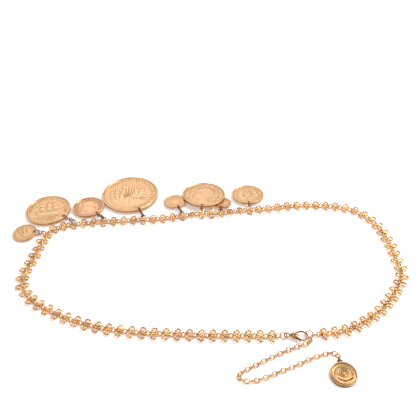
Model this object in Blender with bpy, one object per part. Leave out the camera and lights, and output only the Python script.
# Chain belt with coin medallions, laid out as a closed loop on a flat surface.
# Metres, +Z up. Every piece is a closed solid in its own object.
import math

import bmesh
import bpy
from mathutils import Matrix, Vector

MM = 0.001

# The route is laid out about the middle of the loop. This moves the whole belt so that its
# outline in plan is centred on the origin.
MOVE_EAST = 7.6 * MM
MOVE_NORTH = 1.15 * MM

# The loop is 85 clover links joined by small rings. Each row is a place that the loop passes:
# millimetres east, millimetres north, and how far the chain is lifted there.
LINK_COUNT = 85
STRETCH_LINKS = 5
ROUTE = (
    (44, -75.8, 0),
    (18, -75.5, 0),
    (-8, -75, 0),
    (-35, -73.8, 0),
    (-62, -72, 0),
    (-90, -67, 0),
    (-116, -57.5, 0),
    (-141, -43, 0),
    (-154, -28, 0),
    (-157, -14, 0),
    (-154, 0, 0),
    (-150.5, 18, 0),
    (-147.8, 33.5, 0),
    (-143.5, 41, 0),
    (-136, 46, 0),
    (-117.7, 50.5, 0),
    (-90, 53.3, 0),
    (-62, 55.6, 0),
    (-44, 57.3, 0),
    (-27, 60.5, 0.3),
    (-11, 62.6, 1.4),
    (6, 63.6, 1.2),
    (23, 67.5, 0.2),
    (47, 70.3, 0),
    (73, 74.6, 0),
    (98, 75.3, 0),
    (124, 71, 0),
    (138.5, 61, 0),
    (148, 45.5, 0),
    (153.3, 24, 0),
    (155.6, 1, 0),
    (156.3, -11, 0),
    (151.4, -23, 0),
    (141.5, -38, 0),
    (130, -51.3, 0),
    (116, -62, 0),
    (101, -70, 0),
    (83.6, -73.6, 0),
)

# Links that lie twisted out of the plane of the rest, in degrees of roll about the chain.
TWISTED_LINKS = {24: 9, 30: -8, 47: -22, 49: 24, 51: -17, 52: -10, 63: 8, 74: -9, 80: 7}

# One clover link: two large lobes across the chain and two small eyes along it.
WIRE_HALF = 0.45 * MM
LOBE_INSIDE = ((1.5, 2.5), (1.0, 4.6))
LOBE_OUTSIDE = ((2.6, 2.7), (1.45, 5.75))
LOBE_ROOT = 0.75
EYE_ROOT = (0.8, 0.6)
EYE_INSIDE = (3.2, 0.6)
EYE_OUTSIDE = (4.0, 1.35)
HUB_CORNER = (1.2, 1.15)
LOBE_MIDDLE = 3.8 * MM
LOBE_REACH = 1.3 * MM
LOBE_BEARING = LOBE_MIDDLE + LOBE_REACH

# The ring between two links leans about the chain, so that it is as low as the lobes.
JOINER_LEAN = math.radians(42)
JOINER_INSIDE = 1.35 * MM
JOINER_OUTSIDE = 2.35 * MM
JOINER_WIRE = 0.95 * MM
JOINER_HALF = 0.42 * MM
CHAIN_HEIGHT = JOINER_OUTSIDE * math.cos(JOINER_LEAN) + 0.02 * MM
GAP = 0.3 * MM
LOOSE_SPREAD = 1.9

# Coins in millimetres: link that carries the coin, east and north of its middle, diameter,
# thickness, number of rings, ring diameter, height of the lobe it hangs on, sides of the disc.
COINS = {
    "coin_1": (32, -168.0, 37.9, 21.5, 1.5, 2, 5.6, 2.9, 18),
    "coin_2": (35, -153.5, 69.6, 41.0, 2.0, 3, 5.8, 3.0, 28),
    "coin_3": (38, -116.6, 74.4, 29.4, 1.8, 3, 5.5, 2.9, 24),
    "coin_4": (42, -78.0, 91.0, 53.0, 2.2, 3, 5.6, 2.9, 30),
    "coin_5": (46, -36.2, 83.1, 21.0, 1.2, 3, 5.2, 2.8, 18),
    "coin_6": (48, -8.3, 89.2, 40.0, 1.9, 1, 6.4, 5.2, 28),
    "coin_7": (50, 8.6, 79.0, 17.5, 1.5, 1, 5.8, 2.95, 18),
    "coin_8": (53, 33.1, 92.0, 30.0, 1.7, 1, 6.4, 3.3, 24),
}
RING_LEANS = {1: (90,), 2: (82, 122), 3: (90, 48, 90)}
COIN_RING_WIRE = 0.9 * MM
# Ring wire is four-sided here, so its corners stand out a little to keep the round wire's size.
CORNER_SHARE = 1.08
RING_LINK_SPACING = 1.5 * MM
RING_BEHIND_LOBE = 1.4 * MM
HOLE_RIM = 0.9 * MM
HOLE_BASE = 0.88 * MM
HOLE_PER_THICKNESS = 0.27
HOLE_SIDES = 8
RIM_SHARE = 0.08
RIM_HEIGHT = 0.3 * MM

# The extender runs left from the last link, turns back and ends in the tag medallion.
EXTENDER_ROUTE = (
    (72.2, -76.8, 0.2),
    (72.6, -80.1, 0),
    (68.8, -83.0, 0),
    (60, -86.2, 0),
    (48, -91.8, 0),
    (30, -101.8, 0),
    (19.6, -108, 0),
    (17.2, -112.2, 0),
    (21.5, -115.2, 0),
    (29.5, -114.8, 0),
    (37.5, -111.8, 0),
    (48, -107, 0),
    (60.5, -101.5, 0),
    (72, -95.5, 0),
    (80, -92.6, 0),
    (86.3, -90.9, 0),
    (90.0, -92.4, 0.4),
    (90.9, -95.9, 0.9),
)
EXTENDER_LINK = 3.2 * MM
EXTENDER_STRETCHES = 4
EXTENDER_WIRE = 0.65 * MM
EXTENDER_HALF = 0.33 * MM
EXTENDER_INSIDE = 1.25 * MM
EXTENDER_OUTSIDE = 1.95 * MM
EXTENDER_HEIGHT = 1.42 * MM
# Tag in millimetres: east and north of its middle, diameter, thickness, ring diameter, sides.
TAG = (92.3, -110.0, 20.2, 1.6, 4.6, 20)
TAG_LUG_WIDTH = 3.9 * MM
TAG_LUG_HOLE = 0.5 * MM
TAG_LUG_REACH = 1.7 * MM
TAG_LUG_ROOT = 2.0 * MM
TAG_LUG_FACES = (0.2 * MM, 1.3 * MM)
TAG_LUG_EYE = 1.0 * MM
TAG_LUG_ROUNDING = (-54, -18, 18, 54)
TAG_RING_WIRE = 0.6 * MM
TAG_RING_BEHIND = 1.0 * MM

# The lobster clasp lies between the two ends, its hook through the last of three end rings.
# Each small ring: east, north and height of its middle, diameter, lean and heading in degrees.
CLASP_EYE = (54.9, -75.5, 2.65)
CLASP_HEADING = (1.0, -0.07)
CLASP_THICKNESS = 1.3 * MM
CLASP_EYE_RADIUS = 2.5 * MM
CLASP_EYE_HOLE = 1.6 * MM
CLASP_EYE_ARC = (55, 305)
CLASP_NECK = (4.2, 2.1)
CLASP_LOOP = (11.5, 0.0)
CLASP_LOOP_INSIDE = 3.4 * MM
CLASP_LOOP_OUTSIDE = 4.6 * MM
CLASP_SHOULDER = 147
CLASP_GATE = (-118, -42)
# Straight steps in each curve of the clasp's outline.
EYE_STEPS = 6
INSIDE_STEPS = 8
OUTSIDE_STEPS = 6
LEVER_INSIDE_STEPS = 3
LEVER_OUTSIDE_STEPS = 2
LEVER_GAP = 6
LEVER_INSET = 0.1 * MM
LEVER_THICKNESS = 1.0 * MM
KNOB_TOP = (4, 16)
KNOB_END = 28
KNOB_HEIGHT = 1.1 * MM
CLASP_RINGS = ((48.35, -75.8, 2.72, 5.3, 90, 0), (52.2, -75.8, 2.6, 5.8, 45, 5))
END_RINGS = (
    (79.3, -74.5, 2.72, 5.3, 90, 191.7),
    (75.6, -75.5, 2.6, 5.9, 45, 196),
    (71.5, -75.6, 3.4, 6.7, 134, 164),
)
SMALL_RING_WIRE = 0.65 * MM

FINISHES = {
    "chain": ((0.80, 0.55, 0.27, 1.0), 0.28),
    "coin": ((0.86, 0.64, 0.43, 1.0), 0.42),
    "clasp": ((0.78, 0.53, 0.25, 1.0), 0.22),
}


def clear_scene():
    for item in list(bpy.data.objects):
        bpy.data.objects.remove(item, do_unlink=True)


def metal(name):
    colour, roughness = FINISHES[name]
    material = bpy.data.materials.new(name + "_gold")
    material.use_nodes = True
    shader = material.node_tree.nodes["Principled BSDF"]
    shader.inputs["Base Color"].default_value = colour
    shader.inputs["Roughness"].default_value = roughness
    shader.inputs["Metallic"].default_value = 1.0
    material.diffuse_color = colour
    return material


def catmull_rom(points, steps=24):
    # A smooth curve through the points, as a dense list of places.
    ends = [points[0] * 2 - points[1]] + list(points) + [points[-1] * 2 - points[-2]]
    curve = []
    for start in range(len(points) - 1):
        a, b, c, d = ends[start:start + 4]
        for step in range(steps):
            t = step / steps
            curve.append(0.5 * (
                b * 2 + (c - a) * t + (a * 2 - b * 5 + c * 4 - d) * t ** 2
                + (b * 3 - a - c * 3 + d) * t ** 3
            ))
    curve.append(points[-1].copy())
    return curve


def places_along(curve, count):
    # Places an equal distance apart along a curve.
    reach = [0.0]
    for before, after in zip(curve, curve[1:]):
        reach.append(reach[-1] + (after - before).length)
    places = []
    index = 0
    for place in range(count):
        wanted = reach[-1] * place / (count - 1)
        while index < len(curve) - 2 and reach[index + 1] < wanted:
            index += 1
        share = (wanted - reach[index]) / (reach[index + 1] - reach[index])
        places.append(curve[index].lerp(curve[index + 1], share))
    return places


class Frame:
    # A place on the chain: along it, outwards across it, and up.
    def __init__(self, origin, along, roll=0.0):
        self.origin = origin
        self.along = along.normalized()
        across = Vector((0, 0, 1)).cross(self.along).normalized()
        up = self.along.cross(across)
        turn = Matrix.Rotation(roll, 3, self.along)
        self.across = turn @ across
        self.up = turn @ up

    def point(self, x, y, z=0.0):
        return self.origin + self.along * x + self.across * y + self.up * z


class Wire:
    # Wire of three sides: two points on its inner face and one on its outer ridge.
    def __init__(self, mesh):
        self.mesh = mesh

    def section(self, first, second, ridge):
        return tuple(p if isinstance(p, bmesh.types.BMVert) else self.mesh.verts.new(p)
                     for p in (first, second, ridge))

    def join(self, a, b, inner=True):
        if inner:
            self.mesh.faces.new((a[0], b[0], b[1], a[1]))
        self.mesh.faces.new((a[0], a[2], b[2], b[0]))
        self.mesh.faces.new((a[1], b[1], b[2], a[2]))

    def run(self, sections, bare=()):
        for index in range(len(sections) - 1):
            self.join(sections[index], sections[index + 1], inner=index not in bare)


def chain_frames():
    points = [Vector((x * MM, y * MM, CHAIN_HEIGHT + lift * MM)) for x, y, lift in ROUTE]
    places = places_along(catmull_rom(points), LINK_COUNT)
    lobe_heights = {row[0]: row[7] * MM for row in COINS.values()}
    frames = []
    for index, place in enumerate(places):
        before = places[max(index - 1, 0)]
        after = places[min(index + 1, LINK_COUNT - 1)]
        roll = math.radians(TWISTED_LINKS.get(index + 1, 0))
        if index + 1 in lobe_heights:
            roll = math.asin((lobe_heights[index + 1] - place.z) / LOBE_BEARING)
        frames.append(Frame(place, after - before, roll))
    return frames


def clover_link(wire, frame, eye_faces):
    # Builds one link and returns the inner corners of its two eyes.
    def pair(x, y):
        return [wire.mesh.verts.new(frame.point(x * MM, y * MM, z))
                for z in (WIRE_HALF, -WIRE_HALF)]

    corners = {(i, j): wire.mesh.verts.new(frame.point(i * HUB_CORNER[0] * MM, j * HUB_CORNER[1] * MM))
               for i in (1, -1) for j in (1, -1)}
    notches = {j: pair(0, j * LOBE_ROOT) for j in (1, -1)}
    roots = {(i, j): pair(i * EYE_ROOT[0], j * EYE_ROOT[1]) for i in (1, -1) for j in (1, -1)}
    for z in (0, 1):
        wire.mesh.faces.new((
            notches[1][z], roots[1, 1][z], roots[1, -1][z],
            notches[-1][z], roots[-1, -1][z], roots[-1, 1][z],
        ))
        for i, j in corners:
            wire.mesh.faces.new((notches[j][z], roots[i, j][z], corners[i, j]))
    for i in (1, -1):
        wire.mesh.faces.new((roots[i, 1][0], roots[i, -1][0], roots[i, -1][1], roots[i, 1][1]))
    for j in (1, -1):
        sections = [wire.section(*notches[j], corners[1, j])]
        outline = [(1, 0), (1, 1), (-1, 1), (-1, 0)]
        for i, row in outline:
            inside = pair(i * LOBE_INSIDE[row][0], j * LOBE_INSIDE[row][1])
            ridge = frame.point(i * LOBE_OUTSIDE[row][0] * MM, j * LOBE_OUTSIDE[row][1] * MM)
            sections.append(wire.section(*inside, ridge))
        sections.append(wire.section(*notches[j], corners[-1, j]))
        wire.run(sections)
    eyes = {}
    for i in (1, -1):
        sections = [wire.section(*roots[i, 1], corners[i, 1])]
        for j in (1, -1):
            inside = pair(i * EYE_INSIDE[0], j * EYE_INSIDE[1])
            ridge = frame.point(i * EYE_OUTSIDE[0] * MM, j * EYE_OUTSIDE[1] * MM)
            sections.append(wire.section(*inside, ridge))
            eyes[i, j] = inside
        sections.append(wire.section(*roots[i, -1], corners[i, -1]))
        wire.run(sections, bare=() if eye_faces[i] else (1,))
    return eyes


def joiner_ring(wire, near, near_eye, far, far_eye):
    # The ring from one link's eye to the next. Without a far eye it passes through it with a gap.
    middle = (near.point(EYE_INSIDE[0] * MM, 0) + far.point(-EYE_INSIDE[0] * MM, 0)) / 2
    along = (far.origin - near.origin).normalized()
    across = Vector((0, 0, 1)).cross(along).normalized()
    up = along.cross(across)
    rise = up * math.cos(JOINER_LEAN) + across * math.sin(JOINER_LEAN)
    side = across * math.cos(JOINER_LEAN) - up * math.sin(JOINER_LEAN)

    def end_section(frame, eye, direction, z):
        inner_x = direction * EYE_INSIDE[0] * MM
        ridge_x = inner_x - direction * JOINER_WIRE
        height = WIRE_HALF if z == 0 else -WIRE_HALF
        if eye is None:
            inner_x -= direction * GAP
            ridge_x -= direction * GAP
            half = EYE_INSIDE[1] * MM - GAP
            height *= LOOSE_SPREAD
            inner = [frame.point(inner_x, s * half, height) for s in (1, -1)]
        else:
            inner = [eye[direction, s][z] for s in (1, -1)]
        return wire.section(*inner, frame.point(ridge_x, 0, height))

    def crown(sign):
        inner = [middle + rise * sign * JOINER_INSIDE + side * s * JOINER_HALF for s in (1, -1)]
        return wire.section(*inner, middle + rise * sign * JOINER_OUTSIDE)

    sections = [
        end_section(near, near_eye, 1, 1),
        end_section(near, near_eye, 1, 0),
        crown(1),
        end_section(far, far_eye, -1, 0),
        end_section(far, far_eye, -1, 1),
        crown(-1),
    ]
    bare = {0} if far_eye is None else {0, 3}
    wire.run(sections + sections[:1], bare=bare)


def new_object(name, mesh, material, pivot=None):
    bmesh.ops.recalc_face_normals(mesh, faces=mesh.faces)
    data = bpy.data.meshes.new(name)
    mesh.to_mesh(data)
    mesh.free()
    data.materials.append(material)
    thing = bpy.data.objects.new(name, data)
    bpy.context.scene.collection.objects.link(thing)
    if pivot is not None:
        data.transform(Matrix.Translation(-pivot.location))
        thing.parent = pivot
    data.shade_smooth()
    data.set_sharp_from_angle(angle=math.radians(40))
    return thing


def chain_stretch(number, frames, material):
    # Five links and their joining rings as one solid. The last ring passes through the next eye.
    first = number * STRETCH_LINKS
    mesh = bmesh.new()
    wire = Wire(mesh)
    own = frames[first:first + STRETCH_LINKS]
    last_of_all = first + STRETCH_LINKS == LINK_COUNT
    eyes = []
    for place, frame in enumerate(own):
        end = place == STRETCH_LINKS - 1
        faces = {-1: place == 0, 1: end and last_of_all}
        eyes.append(clover_link(wire, frame, faces))
    for place in range(STRETCH_LINKS - 1):
        joiner_ring(wire, own[place], eyes[place], own[place + 1], eyes[place + 1])
    if not last_of_all:
        joiner_ring(wire, own[-1], eyes[-1], frames[first + STRETCH_LINKS], None)
    return new_object("chain_stretch_%02d" % (number + 1), mesh, material)


def torus(mesh, centre, first, second, radius, wire_radius, around=8, sides=4):
    # A round ring in the plane of two directions.
    normal = first.cross(second)
    hoops = []
    for step in range(around):
        angle = 2 * math.pi * step / around
        out = first * math.cos(angle) + second * math.sin(angle)
        hoop = []
        for side in range(sides):
            turn = 2 * math.pi * (side + 0.5) / sides
            offset = out * math.cos(turn) * wire_radius + normal * math.sin(turn) * wire_radius
            hoop.append(mesh.verts.new(centre + out * radius + offset))
        hoops.append(hoop)
    for step in range(around):
        here = hoops[step]
        there = hoops[(step + 1) % around]
        for side in range(sides):
            after = (side + 1) % sides
            mesh.faces.new((here[side], there[side], there[after], here[after]))


def ring_piece(name, centre, first, second, outer, wire, material, pivot=None, around=8):
    mesh = bmesh.new()
    torus(mesh, centre, first, second, (outer - wire) / 2, wire / 2 * CORNER_SHARE, around)
    return new_object(name, mesh, material, pivot)


def disc(mesh, radius, thickness, sides, to_world):
    # A struck disc: flat underside, raised rim round a lower field.
    rim = radius * RIM_SHARE
    profile = (
        (radius, 0.0),
        (radius, thickness),
        (radius - rim, thickness),
        (radius - rim - RIM_HEIGHT, thickness - RIM_HEIGHT),
    )
    hoops = []
    for r, z in profile:
        hoop = []
        for step in range(sides):
            angle = 2 * math.pi * (step + 0.5) / sides
            hoop.append(mesh.verts.new(to_world @ Vector((r * math.cos(angle), r * math.sin(angle), z))))
        hoops.append(hoop)
    for lower, upper in zip(hoops, hoops[1:]):
        for step in range(sides):
            after = (step + 1) % sides
            mesh.faces.new((lower[step], lower[after], upper[after], upper[step]))
    mesh.faces.new(hoops[0])
    mesh.faces.new(hoops[-1])


def cut_hole(target, centre, axis, radius, depth, pivot):
    # A round hole through a disc, near its rim.
    mesh = bmesh.new()
    turn = axis.to_track_quat("Z", "Y").to_matrix().to_4x4()
    bmesh.ops.create_cone(
        mesh, cap_ends=True, segments=HOLE_SIDES, radius1=radius, radius2=radius, depth=depth,
        matrix=Matrix.Translation(centre) @ turn,
    )
    cutter = new_object(target.name + "_hole", mesh, target.data.materials[0], pivot)
    cutter.hide_render = True
    cutter.display_type = "WIRE"
    cut = target.modifiers.new("hole", "BOOLEAN")
    cut.operation = "DIFFERENCE"
    cut.solver = "EXACT"
    cut.object = cutter


def pivot_at(name, place):
    pivot = bpy.data.objects.new(name, None)
    pivot.location = place
    bpy.context.scene.collection.objects.link(pivot)
    return pivot


def add_lug(target, slope, side, normal, radius, centre, pivot):
    # A small tab that carries the hole just outside a disc's rim.
    mesh = bmesh.new()
    half = TAG_LUG_WIDTH / 2
    root = radius - TAG_LUG_ROOT
    outline = [(root, -half), (radius + TAG_LUG_HOLE, -half)]
    for degrees in TAG_LUG_ROUNDING:
        angle = math.radians(degrees)
        outline.append((radius + TAG_LUG_HOLE + TAG_LUG_REACH * math.cos(angle), half * math.sin(angle)))
    outline += [(radius + TAG_LUG_HOLE, half), (root, half)]
    layers = [[mesh.verts.new(centre - slope * x + side * y + normal * z) for x, y in outline]
              for z in TAG_LUG_FACES]
    for layer in layers:
        mesh.faces.new(layer)
    for step in range(len(outline)):
        after = (step + 1) % len(outline)
        mesh.faces.new((layers[0][step], layers[0][after], layers[1][after], layers[1][step]))
    lug = new_object(target.name + "_lug", mesh, target.data.materials[0], pivot)
    lug.hide_render = True
    lug.display_type = "WIRE"
    join = target.modifiers.new("lug", "BOOLEAN")
    join.operation = "UNION"
    join.solver = "EXACT"
    join.object = lug


def hung_coin(name, bearing, towards, radius, thickness, sides, rings, ring_outer, materials,
              ring_wire=COIN_RING_WIRE, behind=RING_BEHIND_LOBE, lug=False):
    # A coin on its rings, hung on the wire at bearing and laid down towards a place.
    heading = Vector((towards.x - bearing.x, towards.y - bearing.y, 0)).normalized()
    across = Vector((0, 0, 1)).cross(heading)
    pivot = pivot_at(name + "_pivot", bearing)
    mean = (ring_outer - ring_wire) / 2
    start = -behind
    for number in range(rings):
        lean = math.radians(RING_LEANS[rings][number])
        rise = Vector((0, 0, 1)) * math.sin(lean) + across * math.cos(lean)
        centre = bearing + heading * (start + mean)
        ring_piece("%s_ring_%d" % (name, number + 1), centre, heading, rise, ring_outer,
                   ring_wire, materials["chain"], pivot)
        start += 2 * mean - RING_LINK_SPACING
    hole_reach = start + RING_LINK_SPACING
    hole = bearing + heading * hole_reach
    hole_radius = TAG_LUG_EYE if lug else HOLE_BASE + HOLE_PER_THICKNESS * thickness
    hole_inset = -TAG_LUG_HOLE if lug else hole_radius + HOLE_RIM
    # The coin's middle plane passes the hole at the rings' height and its far edge is on the floor.
    run = 2 * radius - hole_inset
    drop = math.asin((bearing.z - thickness / 2) / run)
    slope = heading * math.cos(drop) - Vector((0, 0, 1)) * math.sin(drop)
    normal = slope.cross(across)
    centre = hole + slope * (radius - hole_inset) - normal * thickness / 2
    side = normal.cross(slope)
    to_world = Matrix.Translation(centre) @ Matrix((slope, side, normal)).transposed().to_4x4()
    mesh = bmesh.new()
    disc(mesh, radius, thickness, sides, to_world)
    coin = new_object(name, mesh, materials["coin"], pivot)
    if lug:
        add_lug(coin, slope, side, normal, radius, centre, pivot)
    cut_hole(coin, hole, normal, hole_radius, thickness * 3, pivot)


def lobe_bearing(frame, towards):
    # The place on a lobe's wire that faces a coin's middle.
    middle = frame.point(0, LOBE_MIDDLE)
    heading = towards - middle
    turn = math.atan2(heading.dot(frame.along), heading.dot(frame.across))
    return middle + (frame.along * math.sin(turn) + frame.across * math.cos(turn)) * LOBE_REACH


def make_coins(frames, materials):
    for name, (link, east, north, diameter, thickness, rings, ring_mm, _, sides) in COINS.items():
        towards = Vector((east * MM, north * MM, 0))
        bearing = lobe_bearing(frames[link - 1], towards)
        hung_coin(
            name, bearing, towards, diameter / 2 * MM, thickness * MM, sides, rings,
            ring_mm * MM, materials,
        )


def extender_link(wire, here, there, spread, left, last, level):
    # One round link between two places. The four inner corners at its left end may be shared.
    # A level link turns flat towards its far end, to carry an upright ring.
    along = (there - here).normalized()
    flat = Vector((0, 0, 1)).cross(along).normalized()
    up = along.cross(flat)
    rise = (up + flat * spread).normalized()
    side = along.cross(rise)
    loose = left is None
    left_shift = GAP if loose else 0.0
    left_spread = LOOSE_SPREAD if loose else 1.0

    def corners(place, shift, spread_out):
        return {(i, j): wire.mesh.verts.new(place + along * shift + rise * i * EXTENDER_HALF * spread_out
                                            + side * j * EXTENDER_HALF)
                for i in (1, -1) for j in (1, -1)}

    def end(points, i, place, out, spread_out=1.0):
        ridge = place + along * out + rise * i * EXTENDER_HALF * spread_out
        return wire.section(points[i, 1], points[i, -1], ridge)

    def crown(i):
        middle = (here + there) / 2
        inner = [middle + rise * i * EXTENDER_INSIDE + side * j * EXTENDER_HALF for j in (1, -1)]
        return wire.section(*inner, middle + rise * i * EXTENDER_OUTSIDE)

    if loose:
        left = corners(here, -left_shift, left_spread)
    sections = [
        end(left, -1, here, -EXTENDER_WIRE - left_shift, left_spread),
        end(left, 1, here, -EXTENDER_WIRE - left_shift, left_spread),
    ]
    if level:
        rise = flat * spread
        side = along.cross(rise)
    right = corners(there, 0.0, 1.0)
    sections += [
        crown(1),
        end(right, 1, there, EXTENDER_WIRE),
        end(right, -1, there, EXTENDER_WIRE),
        crown(-1),
    ]
    bare = set() if loose else {0}
    if not last:
        bare.add(3)
    wire.run(sections + sections[:1], bare=bare)
    # The next link lies across this one, so its corners are the same four, a quarter turn on.
    return {(i, j): right[-j * spread, i * spread] for i in (1, -1) for j in (1, -1)}


def make_extender(material):
    points = [Vector((x * MM, y * MM, EXTENDER_HEIGHT + lift * MM)) for x, y, lift in EXTENDER_ROUTE]
    curve = catmull_rom(points)
    length = sum((b - a).length for a, b in zip(curve, curve[1:]))
    count = round(length / EXTENDER_LINK)
    places = places_along(curve, count + 1)
    share = math.ceil(count / EXTENDER_STRETCHES)
    for stretch in range(EXTENDER_STRETCHES):
        first = stretch * share
        last = min(first + share, count)
        mesh = bmesh.new()
        wire = Wire(mesh)
        shared = None
        for number in range(first, last):
            spread = -1 if number % 2 == 0 else 1
            shared = extender_link(
                wire, places[number], places[number + 1], spread, shared,
                last=number == last - 1, level=number == count - 1,
            )
        new_object("extender_%d" % (stretch + 1), mesh, material)
    return places


def make_tag(places, materials):
    # The small medallion on the end of the extender.
    east, north, diameter, thickness, ring_mm, sides = TAG
    end = (places[-1] - places[-2]).normalized()
    bearing = places[-1] + end * EXTENDER_WIRE / 2
    towards = Vector((east * MM, north * MM, 0))
    hung_coin(
        "tag", bearing, towards, diameter / 2 * MM, thickness * MM, sides, 1, ring_mm * MM,
        materials, TAG_RING_WIRE, TAG_RING_BEHIND, lug=True,
    )


def leaning_ring(name, place, material):
    # A small ring: middle, outside diameter, how steeply it stands and which way it points.
    east, north, up, outer, lean_degrees, turn_degrees = place
    lean = math.radians(lean_degrees)
    turn = math.radians(turn_degrees)
    along = Vector((math.cos(turn), math.sin(turn), 0))
    across = Vector((0, 0, 1)).cross(along)
    rise = Vector((0, 0, 1)) * math.sin(lean) + across * math.cos(lean)
    centre = Vector((east, north, up)) * MM
    return ring_piece(name, centre, along, rise, outer * MM, SMALL_RING_WIRE, material, around=12)


def arc(middle, radius, start, stop, steps):
    # Points along an arc, from one angle to another in degrees.
    points = []
    for step in range(steps + 1):
        angle = math.radians(start + (stop - start) * step / steps)
        points.append((middle[0] * MM + radius * math.cos(angle), middle[1] * MM + radius * math.sin(angle)))
    return points


def plate(name, outline, thickness, material):
    # A flat piece with the outline given along and across the clasp.
    eye = Vector(CLASP_EYE) * MM
    along = Vector((*CLASP_HEADING, 0)).normalized()
    across = Vector((0, 0, 1)).cross(along)
    mesh = bmesh.new()
    layers = []
    for z in (-thickness / 2, thickness / 2):
        layer = []
        for x, y in outline:
            layer.append(mesh.verts.new(eye + along * x + across * y + Vector((0, 0, z))))
        layers.append(layer)
        mesh.faces.new(layer)
    for step in range(len(outline)):
        after = (step + 1) % len(outline)
        mesh.faces.new((layers[0][step], layers[0][after], layers[1][after], layers[1][step]))
    return new_object(name, mesh, material)


def make_clasp(materials):
    loop = CLASP_LOOP
    start, stop = CLASP_GATE
    neck_along, neck_half = CLASP_NECK
    body = arc((0, 0), CLASP_EYE_RADIUS, *CLASP_EYE_ARC, EYE_STEPS)
    body += [(neck_along * MM, -neck_half * MM)]
    body += arc(loop, CLASP_LOOP_OUTSIDE, -CLASP_SHOULDER, start, 1)
    body += arc(loop, CLASP_LOOP_INSIDE, start, -360 + stop, INSIDE_STEPS)
    body += arc(loop, CLASP_LOOP_OUTSIDE, stop, CLASP_SHOULDER, OUTSIDE_STEPS)
    body += [(neck_along * MM, neck_half * MM)]
    clasp = plate("clasp_body", body, CLASP_THICKNESS, materials["clasp"])
    eye = Vector(CLASP_EYE) * MM
    cut_hole(clasp, eye, Vector((0, 0, 1)), CLASP_EYE_HOLE, CLASP_THICKNESS * 3, None)
    # The lever fills the gate and ends in a small thumb knob at its hinged end.
    first = start + LEVER_GAP
    last = stop - LEVER_GAP
    lever = arc(loop, CLASP_LOOP_INSIDE + LEVER_INSET, first, last, LEVER_INSIDE_STEPS)
    lever += arc(loop, CLASP_LOOP_OUTSIDE - LEVER_INSET, last, first + KNOB_END, LEVER_OUTSIDE_STEPS)
    lever += arc(loop, CLASP_LOOP_OUTSIDE + KNOB_HEIGHT, first + KNOB_TOP[1], first + KNOB_TOP[0], 1)
    plate("clasp_lever", lever, LEVER_THICKNESS, materials["clasp"])
    for number, place in enumerate(CLASP_RINGS):
        leaning_ring("clasp_ring_%d" % (number + 1), place, materials["chain"])
    for number, place in enumerate(END_RINGS):
        leaning_ring("end_ring_%d" % (number + 1), place, materials["chain"])


def move_all(shift):
    for thing in bpy.context.scene.objects:
        if thing.parent:
            continue
        if thing.type == "MESH":
            thing.data.transform(Matrix.Translation(shift))
        else:
            thing.location += shift


def main():
    clear_scene()
    materials = {name: metal(name) for name in FINISHES}
    frames = chain_frames()
    for number in range(LINK_COUNT // STRETCH_LINKS):
        chain_stretch(number, frames, materials["chain"])
    make_coins(frames, materials)
    make_tag(make_extender(materials["chain"]), materials)
    make_clasp(materials)
    move_all(Vector((MOVE_EAST, MOVE_NORTH, 0)))


main()
